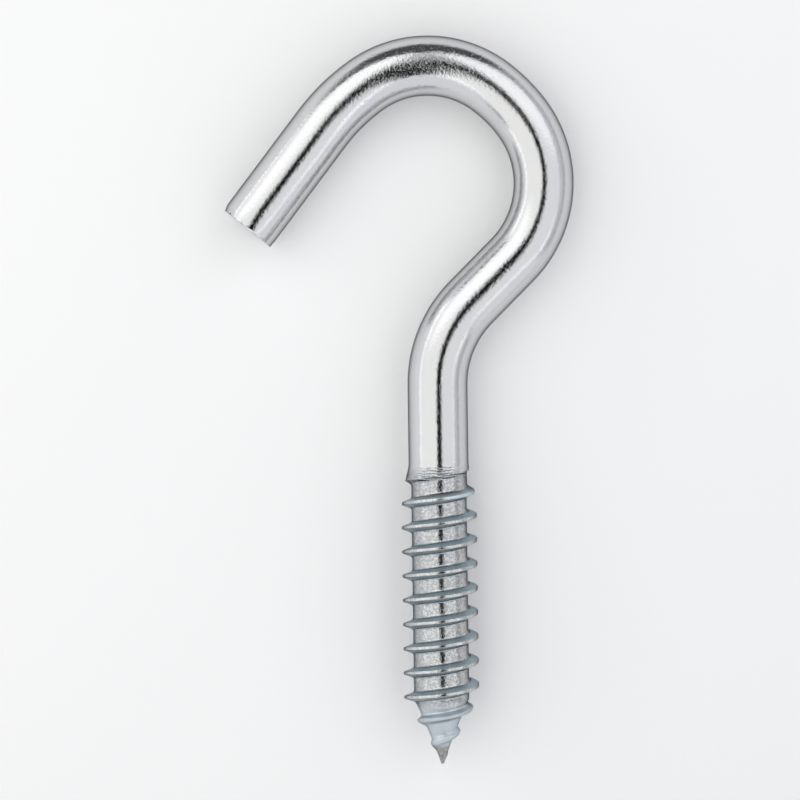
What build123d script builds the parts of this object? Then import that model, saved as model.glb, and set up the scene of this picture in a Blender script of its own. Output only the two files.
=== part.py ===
from build123d import *
import os
from math import atan, atan2, ceil, cos, degrees, radians, tan

# Screw hook, rolled and bent from one length of round steel wire: a gimlet point,
# a coarse right-hand wood thread, a short plain shank, a set-over neck and a round
# open hook. It lies on its side, as it comes to rest on a table. Millimetres.

# Wire
wire_diameter = 6.3

# Thread and point: heights are measured along the screw axis from the tip
crest_diameter = 7.9
root_diameter = 5.8
pitch = 2.54
flank_angle = 23.0
ridge_width = 0.85
crest_width = 0.2
point_length = 6.85
point_crest_length = 7.0
tip_diameter = 0.3
plain_tip_length = 0.6
groove_start_height = 1.3
groove_full_height = 29.75
groove_vanish_turn = 0.4
groove_vanish_angle = 25.0
crest_full_height = 26.8
crest_run_out_length = 4.5

# Bends, along the centreline of the wire from the end of the run-out to the cut end
shank_length = 8.4
set_over_radius = 12.2
set_over_angle = 45.2
neck_length = 6.25
side_radius = 11.5
side_angle = 82.4
crown_radius = 16.8
crown_angle = 14.4
shoulder_radius = 11.1
shoulder_angle = 73.2
tail_bend_radius = 21.2
tail_bend_angle = 17.6
tail_length = 13.1
cut_angle = 1.9
cut_edge_radius = 0.15

# Where the thread passes from point to body, round the axis from the top side
thread_clocking = 68.0

# Worked out from the sizes above
wire_radius = wire_diameter / 2
crest_radius = crest_diameter / 2
root_radius = root_diameter / 2
tip_radius = tip_diameter / 2
shank_start = crest_full_height + crest_run_out_length
shank_end = shank_start + shank_length
point_slope = (root_radius - tip_radius) / point_length
point_angle = degrees(atan(point_slope))
point_cosine = cos(radians(point_angle))

# Groove between two ridges: its sides are square at the floor, then open at the flank
# angle. It is cut a little past the crests and, on the core, a little past its floor.
half_turn = 180
floor_overcut = 0.35
mouth_overcut = 0.12
flank_slope = tan(radians(flank_angle))
groove_half_width = (pitch - ridge_width) / 2
mouth_radius = crest_radius + mouth_overcut
mouth_half_width = (pitch - crest_width) / 2 + mouth_overcut * flank_slope
flank_foot_radius = crest_radius - (ridge_width - crest_width) / 2 / flank_slope
body_length = groove_full_height - point_length
turn_count = ceil(body_length / pitch)
turn_height = body_length / turn_count
turn_angle = 360 * turn_height / pitch
vanish_cosine = cos(radians(groove_vanish_angle))


# Bent wire: set-over neck, round hook and straight tail, cut off slightly askew
with BuildPart() as bent_wire:
    with BuildLine() as route:
        set_over = JernArc((0, shank_end), (0, 1), set_over_radius, -set_over_angle)
        neck = PolarLine(set_over @ 1, neck_length, direction=set_over % 1)
        side = JernArc(neck @ 1, neck % 1, side_radius, side_angle)
        crown = JernArc(side @ 1, side % 1, crown_radius, crown_angle)
        shoulder = JernArc(crown @ 1, crown % 1, shoulder_radius, shoulder_angle)
        tail_bend = JernArc(shoulder @ 1, shoulder % 1, tail_bend_radius, tail_bend_angle)
        tail = PolarLine(tail_bend @ 1, tail_length + wire_radius, direction=tail_bend % 1)
    with BuildSketch(Plane(origin=route.line @ 0, z_dir=route.line % 0)):
        Circle(wire_radius)
    sweep(path=route.line)
    cut_normal = (tail % 0).rotate(Axis.Z, -cut_angle)
    cut_plane = Plane(origin=tail @ 0 + (tail % 0) * tail_length, z_dir=cut_normal)
    with BuildSketch(cut_plane):
        Circle(wire_diameter)
    extrude(amount=wire_diameter, mode=Mode.SUBTRACT)
    cut_face = faces().filter_by(GeomType.PLANE).sort_by_distance(cut_plane.origin)[0]
    fillet(cut_face.edges(), cut_edge_radius)

# Core of the screw: what is left when the thread groove has been rolled in
with BuildPart() as screw_core:
    with BuildSketch():
        with BuildLine():
            Polyline(
                (0, 0),
                (tip_radius, 0),
                (root_radius, point_length),
                (root_radius, shank_end),
                (0, shank_end),
                close=True,
            )
        make_face()
    revolve(axis=Axis.Y)

# Blank of the screw: crests of the point and body, their run-out and the shank
with BuildPart() as screw_blank:
    with BuildSketch():
        with BuildLine():
            tip_side = Polyline(
                (0, 0),
                (tip_radius, 0),
                (tip_radius + plain_tip_length * point_slope, plain_tip_length),
                (crest_radius, point_crest_length),
                (crest_radius, crest_full_height),
            )
            run_out = TangentArc(tip_side @ 1, (wire_radius, shank_start), tangent=(0, 1))
            Polyline(run_out @ 1, (wire_radius, shank_end), (0, shank_end), (0, 0))
        make_face()
    revolve(axis=Axis.Y)


def groove_section(start, overcut=0.0, floor_slope=0.0):
    """Section of the groove between two ridges, in the plane of the axis and start."""
    outward = Vector(start.X, 0, start.Z).normalized()
    section_plane = Plane(
        origin=(0, start.Y, 0), x_dir=outward, z_dir=outward.cross(Vector(0, 1, 0))
    )
    floor_radius = root_radius - overcut
    floor_rise = groove_half_width * floor_slope
    with BuildSketch(section_plane) as section:
        with BuildLine():
            Polyline(
                (floor_radius - floor_rise, -groove_half_width),
                (flank_foot_radius, -groove_half_width),
                (mouth_radius, -mouth_half_width),
                (mouth_radius, mouth_half_width),
                (flank_foot_radius, groove_half_width),
                (floor_radius + floor_rise, groove_half_width),
                close=True,
            )
        make_face()
    return section.sketch


# Groove of the point: it follows the cone from the body down to near the tip. A helix on
# a cone is measured along the cone's side, so its pitch and height go up by the cosine.
with BuildPart() as point_groove:
    with BuildLine() as point_path:
        Helix(
            pitch / point_cosine,
            (point_length - groove_start_height) / point_cosine,
            root_radius,
            center=(0, point_length, 0),
            direction=(0, -1, 0),
            cone_angle=-point_angle,
        )
    add(groove_section(point_path.line @ 0, floor_overcut, point_slope))
    sweep(path=point_path.line, is_frenet=True)
    add(screw_core.part, mode=Mode.SUBTRACT)

# Grooves of the body, one turn or less each, from the point up to the run-out
body_grooves = []
for turn in range(turn_count):
    with BuildPart() as body_groove:
        with BuildLine() as turn_path:
            Helix(
                pitch,
                turn_height,
                root_radius,
                center=(0, point_length + turn * turn_height, 0),
                direction=(0, 1, 0),
            )
        add(groove_section(turn_path.line @ 0, floor_overcut))
        sweep(path=turn_path.line, is_frenet=True)
        add(screw_core.part, mode=Mode.SUBTRACT)
    body_grooves.append(body_groove.part)

# Groove that vanishes into the shank: its floor climbs as it winds round
with BuildPart() as vanishing_groove:
    with BuildLine() as vanish_path:
        Helix(
            pitch / vanish_cosine,
            groove_vanish_turn * pitch / vanish_cosine,
            root_radius,
            center=(0, groove_full_height, 0),
            direction=(0, 1, 0),
            cone_angle=groove_vanish_angle,
        )
    add(groove_section(vanish_path.line @ 0))
    sweep(path=vanish_path.line, is_frenet=True)

# Threaded screw with its shank: the blank less its grooves, each turned to meet the next
with BuildPart() as threaded_screw:
    add(screw_blank.part)
    add(point_groove.part, rotation=(0, half_turn, 0), mode=Mode.SUBTRACT)
    for turn, groove in enumerate(body_grooves):
        add(groove, rotation=(0, turn * turn_angle, 0), mode=Mode.SUBTRACT)
    add(vanishing_groove.part, rotation=(0, turn_count * turn_angle, 0), mode=Mode.SUBTRACT)

# The whole hook in one piece, with the screw axis along +Y
with BuildPart() as straight_hook:
    add(threaded_screw.part, rotation=(0, thread_clocking, 0))
    add(bent_wire.part)

# At rest: it leans on a crest below the run-out and on the crown of the hook
crown_height = route.line.bounding_box().max.Y
rest_lean = degrees(atan2(crest_radius - wire_radius, crown_height - crest_full_height))
with BuildPart(Plane.XY.rotated((-rest_lean, 0, 0))) as lying_hook:
    add(straight_hook.part)
lying_box = lying_hook.part.bounding_box()
base_centre = Vector(lying_box.center().X, lying_box.center().Y, lying_box.min.Z)
with BuildPart(Plane(origin=-base_centre)) as screw_hook:
    add(lying_hook.part)

os.makedirs("parts", exist_ok=True)
screw_hook.part.label = "screw_hook"
export_step(screw_hook.part, "parts/screw_hook.step")
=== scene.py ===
from math import atan2, ceil, cos, hypot, pi, radians

import bmesh
import bpy
from mathutils import Matrix, Vector


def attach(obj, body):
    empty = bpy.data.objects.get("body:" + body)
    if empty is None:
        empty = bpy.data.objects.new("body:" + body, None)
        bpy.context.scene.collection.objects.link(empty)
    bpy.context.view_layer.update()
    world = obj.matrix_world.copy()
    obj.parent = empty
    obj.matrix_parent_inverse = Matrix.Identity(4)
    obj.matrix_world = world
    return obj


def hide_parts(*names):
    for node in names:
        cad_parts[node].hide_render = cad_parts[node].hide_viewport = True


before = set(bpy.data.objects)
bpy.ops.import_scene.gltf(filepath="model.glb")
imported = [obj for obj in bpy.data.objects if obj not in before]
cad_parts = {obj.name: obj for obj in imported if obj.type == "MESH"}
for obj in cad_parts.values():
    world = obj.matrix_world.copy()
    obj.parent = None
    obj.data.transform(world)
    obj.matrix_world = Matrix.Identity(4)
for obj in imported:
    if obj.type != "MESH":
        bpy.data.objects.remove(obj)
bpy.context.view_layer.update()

# Sizes are in millimetres and the hook is built upright along +Y from its point, with
# the camera on its +Z side. It is laid down and turned to metres at the end.
MM = 0.001
FULL_TURN = 2 * pi

# Wire
WIRE_RADIUS = 3.15

# Thread and point, measured along the screw from the tip
CREST_RADIUS = 3.95
ROOT_RADIUS = 2.9
TIP_RADIUS = 0.15
PITCH = 2.54
RIDGE_BASE = 1.08
RIDGE_TOP = 0.3
POINT_LENGTH = 6.85
PLAIN_TIP_LENGTH = 0.6
POINT_CREST_LENGTH = 7.0
GROOVE_FULL = 29.75
GROOVE_VANISH_TURN = 0.4
CREST_FULL = 26.8
CREST_RUN_OUT = 4.5
SHANK_START = CREST_FULL + CREST_RUN_OUT
FRONT_CREST = 0.02
ROOT_FILLET = 0.2
CREST_ROUND = 0.06

# Powers that bend the straight forms: below 1 the ridges are blunt at the tip, and above 1
# the core of the point is hollow and the crests run out in a round
BLUNT_POWER = 0.7
POINT_POWER = 1.1
RUN_OUT_POWER = 1.5

# Ripples where the rolling dies pushed the metal up into the shank
RIPPLE_HEIGHT = 30.75
RIPPLE_SPREAD = 0.32
RIPPLE_PITCH = 0.3
RIPPLE_DEPTH = 0.035

# Bends of the wire from the end of the shank to the cut end: radius and angle, left is +
SHANK_END = 39.7
SET_OVER = (12.2, -45.2)
NECK_LENGTH = 6.25
SIDE = (11.5, 82.4)
CROWN = (16.8, 14.4)
SHOULDER = (11.1, 73.2)
TAIL_BEND = (21.2, 17.6)
TAIL_LENGTH = 13.1
CUT_ANGLE = 1.9
CUT_EDGE = 0.14
CUT_RING = 0.5

# How the shears pressed in the last of the tail, most on its outer side, up to a thin lip
PRESSED_LENGTH = 0.75
PRESSED_STEP = 0.12
PRESSED_DEPTH = 0.05
PRESSED_OUTER_DEPTH = 0.17
LIP_LENGTH = 0.1

# How far the hook leans as it lies on a crest and on its crown, whose centreline is so high
CROWN_HEIGHT = 73.28
REST_LEAN = atan2(CREST_RADIUS - WIRE_RADIUS, CROWN_HEIGHT - CREST_FULL)

# How finely the round forms are stepped and how the skin is joined
STEPS_PER_TURN = 96
SPARE_TURNS = 3
WIRE_SIDES = 96
BEND_STEP = radians(2.0)
STRAIGHT_STEP = 2.0
BRIDGE_LENGTH = 0.25
LONG_EDGE = 0.5
LONG_EDGE_CUTS = 2
EDGE_SEGMENTS = 3
THREAD_MERGE = 0.002
SKIN_MERGE = 0.0005
REAL_EDGE = radians(40)


def groove_chain(bm):
    """One pitch of the thread in section, crest to crest, as a chain of edges."""
    half = PITCH / 2
    foot = half - RIDGE_BASE / 2
    lip = half - RIDGE_TOP / 2
    lips = [(-lip, CREST_RADIUS), (lip, CREST_RADIUS)]
    feet = [(-foot, ROOT_RADIUS), (foot, ROOT_RADIUS)]
    points = [(-half, CREST_RADIUS), lips[0], feet[0], feet[1], lips[1], (half, CREST_RADIUS)]
    verts = [bm.verts.new((0, FRONT_CREST - half + y, r)) for y, r in points]
    for pair in zip(verts, verts[1:]):
        bm.edges.new(pair)
    crests = [v for v in bm.verts if v.co.z > WIRE_RADIUS and len(v.link_edges) == 2]
    round_off(bm, crests, CREST_ROUND)
    roots = [v for v in bm.verts if v.co.z < WIRE_RADIUS]
    round_off(bm, roots, ROOT_FILLET)
    long_edges = [e for e in bm.edges if e.calc_length() > LONG_EDGE]
    bmesh.ops.subdivide_edges(bm, edges=long_edges, cuts=LONG_EDGE_CUTS)
    return bm.verts[:] + bm.edges[:]


def round_off(bm, corners, offset):
    """Rounds corners of a chain of edges."""
    bmesh.ops.bevel(
        bm,
        geom=corners,
        offset=offset,
        segments=EDGE_SEGMENTS,
        profile=0.5,
        affect="VERTICES",
        material=-1,
    )


def crest_radius(height):
    """Radius of the ridges' crests: a cone, a cylinder, then a round run-out."""
    tip_slope = (ROOT_RADIUS - TIP_RADIUS) / POINT_LENGTH
    plain_top = TIP_RADIUS + tip_slope * PLAIN_TIP_LENGTH
    if height < PLAIN_TIP_LENGTH:
        return TIP_RADIUS + tip_slope * max(height, 0)
    if height < POINT_CREST_LENGTH:
        rise = (height - PLAIN_TIP_LENGTH) / (POINT_CREST_LENGTH - PLAIN_TIP_LENGTH)
        return plain_top + rise * (CREST_RADIUS - plain_top)
    past = min(max(height - CREST_FULL, 0), CREST_RUN_OUT) / CREST_RUN_OUT
    return CREST_RADIUS - (CREST_RADIUS - WIRE_RADIUS) * past**RUN_OUT_POWER


def root_radius(height):
    """Radius of the core between the ridges."""
    along_point = min(max(height, 0) / POINT_LENGTH, 1)
    return TIP_RADIUS + (ROOT_RADIUS - TIP_RADIUS) * along_point**POINT_POWER


def groove_share(groove_height):
    """How much of the groove's depth is there, by the height that its middle has reached."""
    vanish = (groove_height - GROOVE_FULL) / (GROOVE_VANISH_TURN * PITCH)
    return min(max(1 - vanish, 0), 1)


def ripple_depth(height):
    """Depth of the ripples in the run-out."""
    window = max(1 - ((height - RIPPLE_HEIGHT) / RIPPLE_SPREAD) ** 2, 0)
    return RIPPLE_DEPTH * window * (0.5 + 0.5 * cos(FULL_TURN * height / RIPPLE_PITCH))


def roll_to_shape(bm):
    """Draws the even thread in to its point and lets it run out into the shank."""
    for vert in bm.verts:
        height = vert.co.y
        radius = hypot(vert.co.x, vert.co.z)
        turn = atan2(vert.co.x, vert.co.z) / FULL_TURN
        middle = FRONT_CREST - PITCH / 2 + turn * PITCH
        groove_height = middle + round((height - middle) / PITCH) * PITCH
        along_point = min(max(height, 0) / POINT_LENGTH, 1)
        power = BLUNT_POWER + (1 - BLUNT_POWER) * along_point
        fullness = (radius - ROOT_RADIUS) / (CREST_RADIUS - ROOT_RADIUS)
        fullness = max(min(fullness, 1), 0) ** power
        depth = (crest_radius(height) - root_radius(height)) * groove_share(groove_height)
        new_radius = crest_radius(height) - (1 - fullness) * depth - ripple_depth(height)
        vert.co.x *= new_radius / radius
        vert.co.z *= new_radius / radius


def rim(bm):
    """The edges round the open end of the mesh."""
    return [e for e in bm.edges if e.is_boundary]


def threaded_screw(bm):
    """Skin of the screw: one groove section wound up the axis, then rolled to its point."""
    bmesh.ops.spin(
        bm,
        geom=groove_chain(bm),
        cent=(0, 0, 0),
        axis=(0, 1, 0),
        dvec=(0, PITCH / STEPS_PER_TURN, 0),
        angle=FULL_TURN,
        steps=STEPS_PER_TURN,
    )
    bmesh.ops.translate(bm, verts=bm.verts[:], vec=(0, -PITCH, 0))
    one_turn = bm.verts[:] + bm.edges[:] + bm.faces[:]
    for turn in range(1, ceil(SHANK_START / PITCH) + SPARE_TURNS):
        copied = bmesh.ops.duplicate(bm, geom=one_turn)["geom"]
        verts = [g for g in copied if isinstance(g, bmesh.types.BMVert)]
        bmesh.ops.translate(bm, verts=verts, vec=(0, turn * PITCH, 0))
    bmesh.ops.remove_doubles(bm, verts=bm.verts[:], dist=THREAD_MERGE)
    roll_to_shape(bm)
    for height, crops_above in ((SHANK_START, True), (0, False)):
        bmesh.ops.bisect_plane(
            bm,
            geom=bm.verts[:] + bm.edges[:] + bm.faces[:],
            plane_co=(0, height, 0),
            plane_no=(0, 1, 0),
            clear_outer=crops_above,
            clear_inner=not crops_above,
        )
    tip_edge = [e for e in rim(bm) if e.verts[0].co.y < POINT_LENGTH]
    bmesh.ops.edgeloop_fill(bm, edges=tip_edge)


class BentWire:
    """A ring of edges that is drawn along the wire's route, bend by bend."""

    def __init__(self, bm, place, heading):
        self.bm = bm
        self.place = Vector(place)
        self.heading = Vector(heading)
        made = bmesh.ops.create_circle(bm, segments=WIRE_SIDES, radius=WIRE_RADIUS)
        turn = Matrix.Rotation(radians(90), 4, "X")
        bmesh.ops.transform(bm, matrix=Matrix.Translation(self.place) @ turn, verts=made["verts"])
        self.ring = list({e for v in made["verts"] for e in v.link_edges})
        self.start = self.ring

    def bend(self, radius, angle):
        """Round an arc: a positive angle turns left."""
        side = Vector((-self.heading.y, self.heading.x, 0)) * (1 if angle > 0 else -1)
        centre = self.place + side * radius
        swept = bmesh.ops.spin(
            self.bm,
            geom=self.ring,
            cent=centre,
            axis=(0, 0, 1),
            angle=radians(angle),
            steps=ceil(abs(radians(angle)) / BEND_STEP),
        )
        turn = Matrix.Rotation(radians(angle), 3, "Z")
        self.place = centre + turn @ (self.place - centre)
        self.heading = turn @ self.heading
        self.ring = [g for g in swept["geom_last"] if isinstance(g, bmesh.types.BMEdge)]

    def straight(self, length, step=STRAIGHT_STEP):
        """Straight on, in even steps."""
        steps = ceil(length / step)
        for _ in range(steps):
            grown = bmesh.ops.extrude_edge_only(self.bm, edges=self.ring)["geom"]
            verts = {g for g in grown if isinstance(g, bmesh.types.BMVert)}
            bmesh.ops.translate(self.bm, verts=list(verts), vec=self.heading * (length / steps))
            edges = [g for g in grown if isinstance(g, bmesh.types.BMEdge)]
            self.ring = [e for e in edges if verts.issuperset(e.verts)]
        self.place = self.place + self.heading * length


def cut_off(bm, wire):
    """Crops the tail along the shear's plane and closes it with a softened edge."""
    normal = Matrix.Rotation(radians(-CUT_ANGLE), 3, "Z") @ wire.heading
    near = [f for f in bm.faces if (f.calc_center_median() - wire.place).length < 3 * WIRE_RADIUS]
    near_verts = list({v for f in near for v in f.verts})
    near_edges = list({e for f in near for e in f.edges})
    bmesh.ops.bisect_plane(
        bm,
        geom=near_verts + near_edges + near,
        plane_co=wire.place,
        plane_no=normal,
        clear_outer=True,
    )
    end = [e for e in rim(bm) if (e.verts[0].co - wire.place).length < 2 * WIRE_RADIUS]
    cap = bmesh.ops.edgeloop_fill(bm, edges=end)["faces"]
    bmesh.ops.bevel(
        bm,
        geom=list(cap[0].edges),
        offset=CUT_EDGE,
        segments=EDGE_SEGMENTS,
        profile=0.5,
        affect="EDGES",
        material=-1,
    )
    cut_face = max(bm.faces, key=lambda f: f.calc_area())
    bmesh.ops.inset_region(bm, faces=[cut_face], thickness=CUT_RING)


def press_end(bm, wire):
    """Presses the last of the tail in, and leaves the lip at its cut."""
    outer = Vector((wire.heading.y, -wire.heading.x, 0))
    for vert in bm.verts:
        away = vert.co - wire.place
        back = -away.dot(wire.heading)
        if away.length > 2 * WIRE_RADIUS or not LIP_LENGTH < back < PRESSED_LENGTH:
            continue
        radial = away + wire.heading * back
        outer_share = max(radial.dot(outer) / WIRE_RADIUS, 0)
        depth = PRESSED_DEPTH + PRESSED_OUTER_DEPTH * outer_share**2
        vert.co -= radial * (depth / WIRE_RADIUS) * (1 - back / PRESSED_LENGTH)


def lay_down(bm):
    """Leans the hook on its thread and crown and centres its footprint, in metres."""
    crown_height = max(v.co.y for v in bm.verts) - WIRE_RADIUS
    lean = atan2(CREST_RADIUS - WIRE_RADIUS, crown_height - CREST_FULL)
    bmesh.ops.rotate(bm, verts=bm.verts[:], cent=(0, 0, 0), matrix=Matrix.Rotation(-lean, 3, "X"))
    lows = [min(v.co[i] for v in bm.verts) for i in range(3)]
    highs = [max(v.co[i] for v in bm.verts) for i in range(3)]
    base = Vector(((lows[0] + highs[0]) / 2, (lows[1] + highs[1]) / 2, lows[2]))
    bmesh.ops.translate(bm, verts=bm.verts[:], vec=-base)
    bmesh.ops.scale(bm, verts=bm.verts[:], vec=(MM, MM, MM))


def screw_hook_mesh():
    """The whole hook as one closed mesh."""
    bm = bmesh.new()
    threaded_screw(bm)
    thread_rim = rim(bm)
    wire = BentWire(bm, (0, SHANK_START + BRIDGE_LENGTH, 0), (0, 1, 0))
    bmesh.ops.bridge_loops(bm, edges=thread_rim + wire.start)
    wire.straight(SHANK_END - SHANK_START - BRIDGE_LENGTH)
    wire.bend(*SET_OVER)
    wire.straight(NECK_LENGTH)
    for arc in (SIDE, CROWN, SHOULDER, TAIL_BEND):
        wire.bend(*arc)
    wire.straight(TAIL_LENGTH - PRESSED_LENGTH)
    wire.straight(PRESSED_LENGTH, PRESSED_STEP)
    cut_place = wire.place.copy()
    wire.straight(WIRE_RADIUS / 2)
    wire.place = cut_place
    cut_off(bm, wire)
    press_end(bm, wire)
    bmesh.ops.remove_doubles(bm, verts=bm.verts[:], dist=SKIN_MERGE)
    lay_down(bm)
    bmesh.ops.recalc_face_normals(bm, faces=bm.faces[:])
    return bm


def screw_hook_piece():
    """The hook as an object, smooth except where its edges are real."""
    bm = screw_hook_mesh()
    for face in bm.faces:
        face.smooth = True
    for edge in bm.edges:
        if len(edge.link_faces) == 2:
            edge.smooth = edge.calc_face_angle() < REAL_EDGE
    mesh = bpy.data.meshes.new("hook_skin")
    bm.to_mesh(mesh)
    bm.free()
    piece = bpy.data.objects.new("hook_skin", mesh)
    bpy.context.scene.collection.objects.link(piece)
    return piece


def linear(hex_colour):
    """An sRGB hex colour as linear red, green, blue and alpha."""
    parts = [int(hex_colour[i : i + 2], 16) / 255 for i in (0, 2, 4)]
    return [c / 12.92 if c <= 0.04045 else ((c + 0.055) / 1.055) ** 2.4 for c in parts] + [1]


def add_node(tree, kind, settings=None, inputs=None):
    """Adds a node with its settings. Each input is another node's output or a plain value."""
    node = tree.nodes.new(kind)
    for name, value in (settings or {}).items():
        setattr(node, name, value)
    for name, source in (inputs or {}).items():
        if isinstance(source, bpy.types.NodeSocket):
            tree.links.new(source, node.inputs[name])
        else:
            node.inputs[name].default_value = source
    return node


def soft_zone(tree, measures, limits, low=0.0, high=1.0):
    """A value that is high where every limit is kept, and low or 0 elsewhere. Each limit
    names a measure and says where its soft step starts and where it ends."""
    share = high
    for name, start, end in limits:
        share = add_node(
            tree,
            "ShaderNodeMapRange",
            {"interpolation_type": "SMOOTHSTEP"},
            {
                "Value": measures[name],
                "From Min": start,
                "From Max": end,
                "To Min": low,
                "To Max": share,
            },
        ).outputs["Result"]
        low = 0.0
    return share


# Zones of the zinc's finish in the finished place, in millimetres: along the hook, whose tip
# is at the low end, and out from the screw's axis, which passes through the axis place
AXIS_PLACE = (3.78, -6.915, 3.872)
THREAD_TOP = -6.9
ZINC_ZONES = {
    "hook": [],
    "wire": [("along", THREAD_TOP - 1.2, THREAD_TOP)],
    "thread": [("along", THREAD_TOP, THREAD_TOP - 1.2)],
    "run_out": [
        ("along", THREAD_TOP - 1.5, THREAD_TOP - 1.2),
        ("along", THREAD_TOP + 0.2, THREAD_TOP - 0.1),
    ],
    "crest": [("out", CREST_RADIUS - 0.18, CREST_RADIUS - 0.08)],
    # The flank zone carries the flanks' matt roughness and their painted light tone, which
    # lightens them where the ridges shade them.
    "flank": [
        ("out", ROOT_RADIUS + 0.08, ROOT_RADIUS + 0.3),
        ("out", CREST_RADIUS - 0.08, CREST_RADIUS - 0.18),
        ("along", THREAD_TOP - 2.1, THREAD_TOP - 2.9),
    ],
    "point": [("along", -31.5, -32.5)],
    "tip": [("along", -35.9, -36.6)],
    "crown": [("along", 25.0, 34.0)],
}

# Patterns in the zinc: width of the grain in millimetres, detail and roughness. The crystals
# of real plating are finer than the render can show, so they are drawn this coarse.
ZINC_PATTERNS = {
    "cloud": (3.5, 3.0, 0.6),
    "grain": (0.3, 3.0, 0.6),
    "fine_grain": (0.13, 2.0, 0.6),
    "peel": (0.24, 1.0, 0.5),
    "crystals": (0.16, 1.0, 0.5),
    "scuffs": (0.4, 4.0, 0.7),
    "fine_scuffs": (0.28, 3.0, 0.7),
}
SCUFF_MARKS = [("fine_scuffs", 0.4, 0.66)]
GLOSS_SCUFFS = [("scuffs", 0.3, 0.7)]
SPECKS = [("crystals", 0.49, 0.64)]

# Ripples of the run-out. A wave texture has a band every 0.314 of its unit.
WAVE_UNIT = 0.314
RIPPLE_DISTORTION = 4.0
RIPPLE_DETAIL = 2.0

# Two tones of the zinc in each zone and the pattern that mixes them, each zone laid over the
# one before. The same tone twice is an even one.
ZINC_TONES = {
    "root": ("scuff_marks", "AAADAF", "CFD0CF"),
    "crest": ("scuff_marks", "BCBDBD", "DADAD8"),
    # Painted light: the flanks' tone is paler and bluer than the root's, to lighten them where
    # the ridges shade them.
    "flank": ("cloud", "CEDCE3", "CEDCE3"),
    "point": ("cloud", "CAD3D8", "CAD3D8"),
    "tip": ("scuff_marks", "949393", "B9B9B9"),
    "wire": ("cloud", "D8D7D4", "CED0D5"),
}
EDGE_TONE = "74787C"

# Relief of the zinc, layer on layer: a pattern, its depth in millimetres and its zone
ZINC_RELIEF = (
    ("grain", 0.02, "hook"),
    ("fine_grain", 0.004, "hook"),
    ("peel", 0.0065, "crown"),
    ("scuffs", 0.018, "thread"),
    ("ripples", 0.05, "run_out"),
)

# Roughness of the clean metal, what the matt flanks and point add, and a speck's share of it
GLOSS_ROUGHNESS = (0.05, 0.1)
MATT_ROUGHNESS = 0.36
SPECK_SHARE = 0.52


def zinc_patterns(tree, place):
    """The patterns in the zinc, by name."""
    patterns = {}
    for name, (width, detail, roughness) in ZINC_PATTERNS.items():
        inputs = {"Vector": place, "Scale": 1 / width, "Detail": detail, "Roughness": roughness}
        patterns[name] = add_node(tree, "ShaderNodeTexNoise", inputs=inputs).outputs["Fac"]
    patterns["scuff_marks"] = soft_zone(tree, patterns, SCUFF_MARKS)
    patterns["ripples"] = add_node(
        tree,
        "ShaderNodeTexWave",
        {"wave_type": "BANDS", "bands_direction": "Y"},
        {
            "Vector": place,
            "Scale": WAVE_UNIT / RIPPLE_PITCH,
            "Distortion": RIPPLE_DISTORTION,
            "Detail": RIPPLE_DETAIL,
        },
    ).outputs["Fac"]
    return patterns


def zinc_zones(tree, place):
    """How far a point lies within each zone of the finish, by name."""
    along = add_node(tree, "ShaderNodeSeparateXYZ", inputs={"Vector": place})
    on_axis = add_node(
        tree,
        "ShaderNodeMapping",
        {"vector_type": "TEXTURE"},
        {"Vector": place, "Location": AXIS_PLACE, "Rotation": (-REST_LEAN, 0, 0)},
    )
    across = add_node(
        tree,
        "ShaderNodeVectorMath",
        {"operation": "MULTIPLY"},
        {0: on_axis.outputs["Vector"], 1: (1, 0, 1)},
    )
    out = add_node(
        tree, "ShaderNodeVectorMath", {"operation": "LENGTH"}, {0: across.outputs["Vector"]}
    )
    measures = {"along": along.outputs["Y"], "out": out.outputs["Value"]}
    return {name: soft_zone(tree, measures, limits) for name, limits in ZINC_ZONES.items()}


def zinc_colour(tree, patterns, zones):
    """Colour of the zinc: the tones of each zone, then zone over zone."""
    mixed = {"data_type": "RGBA"}
    tones = {}
    for name, (pattern, first, second) in ZINC_TONES.items():
        inputs = {"Factor": patterns[pattern], "A": linear(first), "B": linear(second)}
        tones[name] = add_node(tree, "ShaderNodeMix", mixed, inputs).outputs["Result"]
    colour = tones.pop("root")
    for name, tone in tones.items():
        inputs = {"Factor": zones[name], "A": colour, "B": tone}
        colour = add_node(tree, "ShaderNodeMix", mixed, inputs).outputs["Result"]
    return colour


def zinc_roughness(tree, patterns, zones):
    """Clean and glossy, but matt on the flanks and the point and in the crown's specks."""
    specks = soft_zone(tree, patterns, SPECKS, high=SPECK_SHARE)
    inputs = {0: specks, 1: zones["crown"]}
    matt = add_node(tree, "ShaderNodeMath", {"operation": "MULTIPLY"}, inputs)
    for name in ("flank", "point"):
        inputs = {0: matt.outputs["Value"], 1: zones[name]}
        matt = add_node(tree, "ShaderNodeMath", {"operation": "MAXIMUM"}, inputs)
    gloss = soft_zone(tree, patterns, GLOSS_SCUFFS, *GLOSS_ROUGHNESS)
    return add_node(
        tree,
        "ShaderNodeMath",
        {"operation": "MULTIPLY_ADD", "use_clamp": True},
        {0: matt.outputs["Value"], 1: MATT_ROUGHNESS, 2: gloss},
    ).outputs["Value"]


def zinc_relief(tree, patterns, zones):
    """Relief of the zinc: each pattern stands on the one before, within its zone."""
    relief = None
    for pattern, depth, zone in ZINC_RELIEF:
        inputs = {"Height": patterns[pattern], "Distance": depth * MM, "Strength": zones[zone]}
        if relief:
            inputs["Normal"] = relief
        relief = add_node(tree, "ShaderNodeBump", inputs=inputs).outputs["Normal"]
    return relief


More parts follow.
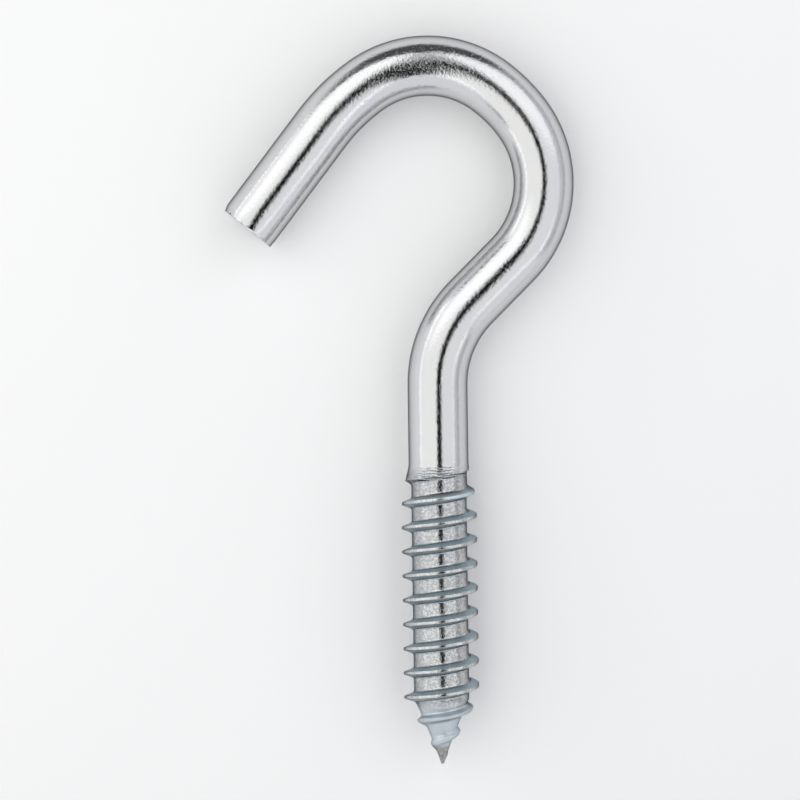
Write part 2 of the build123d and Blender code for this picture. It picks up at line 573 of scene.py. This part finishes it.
def bright_zinc():
    """Bright electroplated zinc with a clear blue passivation, over drawn and rolled steel
    wire: a clean mirror-like grey with a fine grain, speckled where the crown was stretched
    in bending. In the thread it is scuffed by the rolling dies, and it is matt on the flanks
    and the point. The point is bluer, where more of the passivation stays, and the flanks
    have a paler, bluer tone of painted light that lightens them where the ridges shade them."""
    material = bpy.data.materials.new("bright_zinc_plating")
    material.use_nodes = True
    tree = material.node_tree
    tree.nodes.clear()
    metres = add_node(tree, "ShaderNodeTexCoord").outputs["Object"]
    place = add_node(
        tree, "ShaderNodeVectorMath", {"operation": "SCALE"}, {"Vector": metres, "Scale": 1 / MM}
    ).outputs["Vector"]
    patterns = zinc_patterns(tree, place)
    zones = zinc_zones(tree, place)
    finish = {
        "Base Color": zinc_colour(tree, patterns, zones),
        "Metallic": 1.0,
        "Roughness": zinc_roughness(tree, patterns, zones),
        "Normal": zinc_relief(tree, patterns, zones),
        "Specular Tint": linear(EDGE_TONE),
    }
    metal = add_node(tree, "ShaderNodeBsdfPrincipled", inputs=finish)
    add_node(tree, "ShaderNodeOutputMaterial", inputs={"Surface": metal.outputs["BSDF"]})
    return material


# Floor, and how far it reaches to each side in millimetres
FLOOR_REACH = 400
CARD_WHITE = "FCFCFC"


def white_card():
    """Matt white card, which gives the hook an even pale ground."""
    material = bpy.data.materials.new("white_card")
    material.use_nodes = True
    tree = material.node_tree
    tree.nodes.clear()
    matt = {"Color": linear(CARD_WHITE), "Roughness": 0.0}
    card = add_node(tree, "ShaderNodeBsdfDiffuse", inputs=matt)
    add_node(tree, "ShaderNodeOutputMaterial", inputs={"Surface": card.outputs["BSDF"]})
    return material


def floor():
    """The card that the hook lies on, out past the edges of the view."""
    bm = bmesh.new()
    bmesh.ops.create_grid(bm, x_segments=1, y_segments=1, size=FLOOR_REACH * MM)
    mesh = bpy.data.meshes.new("floor")
    bm.to_mesh(mesh)
    bm.free()
    mesh.materials.append(white_card())
    card = bpy.data.objects.new("floor", mesh)
    bpy.context.scene.collection.objects.link(card)


# Softboxes to the left and right of the hook: X and Z of the upper edge, beside the camera,
# and of the lower edge, the brightness, where 1 is white, the colour, and how many degrees
# each is turned round the hook. The wire mirrors one on each side of its dark centre line,
# and the turned one makes that line wider on the tail and the neck.
SOFTBOX_NEAR = -210
SOFTBOX_FAR = 330
SOFTBOXES = {
    "left_softbox": ((-20, 280), (-420, 130), 1.18, (1.0, 1.0, 0.985), 0.0),
    "right_softbox": ((64, 280), (320, 170), 1.03, (0.98, 0.985, 1.0), 8.0),
}


def softbox(name, top, foot, level, colour, skew):
    """A long softbox whose face slopes from its upper to its lower edge, both along Y."""
    middle = (SOFTBOX_NEAR + SOFTBOX_FAR) / 2
    top = Vector((top[0], middle, top[1])) * MM
    foot = Vector((foot[0], middle, foot[1])) * MM
    lamp = bpy.data.lights.new(name, "AREA")
    lamp.shape = "RECTANGLE"
    lamp.size = (foot - top).length
    lamp.size_y = (SOFTBOX_FAR - SOFTBOX_NEAR) * MM
    lamp.energy = pi * level * lamp.size * lamp.size_y
    lamp.color = colour
    box = bpy.data.objects.new(name, lamp)
    across = (foot - top).normalized()
    back = across.cross(Vector((0, 1, 0)))
    if back.z < 0:
        back.negate()
    facing = Matrix((across, back.cross(across), back)).transposed().to_4x4()
    skewed = Matrix.Rotation(radians(skew), 4, "Z")
    box.matrix_world = skewed @ Matrix.Translation((top + foot) / 2) @ facing
    box.visible_camera = False
    bpy.context.scene.collection.objects.link(box)


# Walls of the room: their least and greatest brightness, where 1 is white, and their limits
# in how far a direction points right, far and up, from -1 to 1. The near wall comes further
# forward on its right side, as the right softbox is turned, so its edge has its own measure.
NEAR_BEND = [("right", 0.1, 0.75)]
NEAR_BEND_REACH = -0.15
OFF_NEAR_WALL = ("bent_far", -0.68, -0.6)
ROOM_TONE = "FAFBFF"
ROOM_WALLS = {
    "near_wall_and_ceiling": (0.01, 0.98, [("bent_far", -0.6, -0.66)]),
    "left_wall": (
        0.0,
        1.0,
        [("up", 0.35, 0.28), ("right", -0.4, -0.75), OFF_NEAR_WALL],
    ),
    "right_wall": (
        0.5,
        0.82,
        [("up", 0.0, 0.4), ("up", 0.52, 0.44), ("right", 0.4, 0.75), OFF_NEAR_WALL],
    ),
    "far_wall": (0.0, 0.09, [("far", 0.62, 0.75)]),
    "strip_above_far_wall": (
        0.0,
        0.35,
        [("up", 0.45, 0.6), ("far", 0.19, 0.34), ("far", 0.77, 0.69)],
    ),
    "floor_band": (0.0, 0.85, [("up", 0.1, 0.05)]),
}


def room():
    """The room round the softboxes, by direction: dark over the camera, with pale walls, a
    darker far side and a pale band all round at the level of the floor."""
    world = bpy.data.worlds.new("studio_room")
    world.use_nodes = True
    tree = world.node_tree
    tree.nodes.clear()
    direction = add_node(tree, "ShaderNodeTexCoord").outputs["Generated"]
    parts = add_node(tree, "ShaderNodeSeparateXYZ", inputs={"Vector": direction}).outputs
    measures = {"right": parts["X"], "far": parts["Y"], "up": parts["Z"]}
    bend = soft_zone(tree, measures, NEAR_BEND, high=NEAR_BEND_REACH)
    inputs = {0: measures["far"], 1: bend}
    bent = add_node(tree, "ShaderNodeMath", {"operation": "ADD"}, inputs)
    measures["bent_far"] = bent.outputs["Value"]
    brightness = 0.0
    for least, greatest, limits in ROOM_WALLS.values():
        inputs = {0: brightness, 1: soft_zone(tree, measures, limits, least, greatest)}
        lightest = add_node(tree, "ShaderNodeMath", {"operation": "MAXIMUM"}, inputs)
        brightness = lightest.outputs["Value"]
    glow = {"Strength": brightness, "Color": linear(ROOM_TONE)}
    light = add_node(tree, "ShaderNodeBackground", inputs=glow)
    add_node(tree, "ShaderNodeOutputWorld", inputs={"Surface": light.outputs["Background"]})
    bpy.context.scene.world = world


def studio():
    """Floor, softboxes and room."""
    floor()
    for name, sizes in SOFTBOXES.items():
        softbox(name, *sizes)
    room()


# The photograph looks straight down on the hook, a little rolled, from its own distance
CAMERA_DISTANCE = 276.0
SENSOR_WIDTH = 36.0
VIEW_WIDTH = 84.0
VIEW_CENTRE = (-0.2024, 0.0)
VIEW_ROLL = 0.785
FOOT_ABOVE_CENTRE = 5.9
HOOK_PLANE_HEIGHT = 3.8


def camera():
    """Long lens over the hook, its axis square to the hook's own plane."""
    data = bpy.data.cameras.new("camera")
    data.sensor_width = SENSOR_WIDTH
    data.lens = SENSOR_WIDTH * CAMERA_DISTANCE / VIEW_WIDTH
    data.shift_y = -FOOT_ABOVE_CENTRE / VIEW_WIDTH
    view = bpy.data.objects.new("camera", data)
    centre = Matrix.Translation(Vector((*VIEW_CENTRE, HOOK_PLANE_HEIGHT)) * MM)
    tilt = Matrix.Rotation(-REST_LEAN, 4, "X")
    roll = Matrix.Rotation(radians(-VIEW_ROLL), 4, "Z")
    foot = Matrix.Translation(Vector((0, FOOT_ABOVE_CENTRE, CAMERA_DISTANCE)) * MM)
    view.matrix_world = centre @ tilt @ roll @ foot
    bpy.context.scene.collection.objects.link(view)
    bpy.context.scene.camera = view


hook = screw_hook_piece()
hook.data.materials.append(bright_zinc())
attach(hook, "root")
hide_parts("screw_hook")
studio()
camera()
bpy.context.scene.view_settings.view_transform = "Standard"
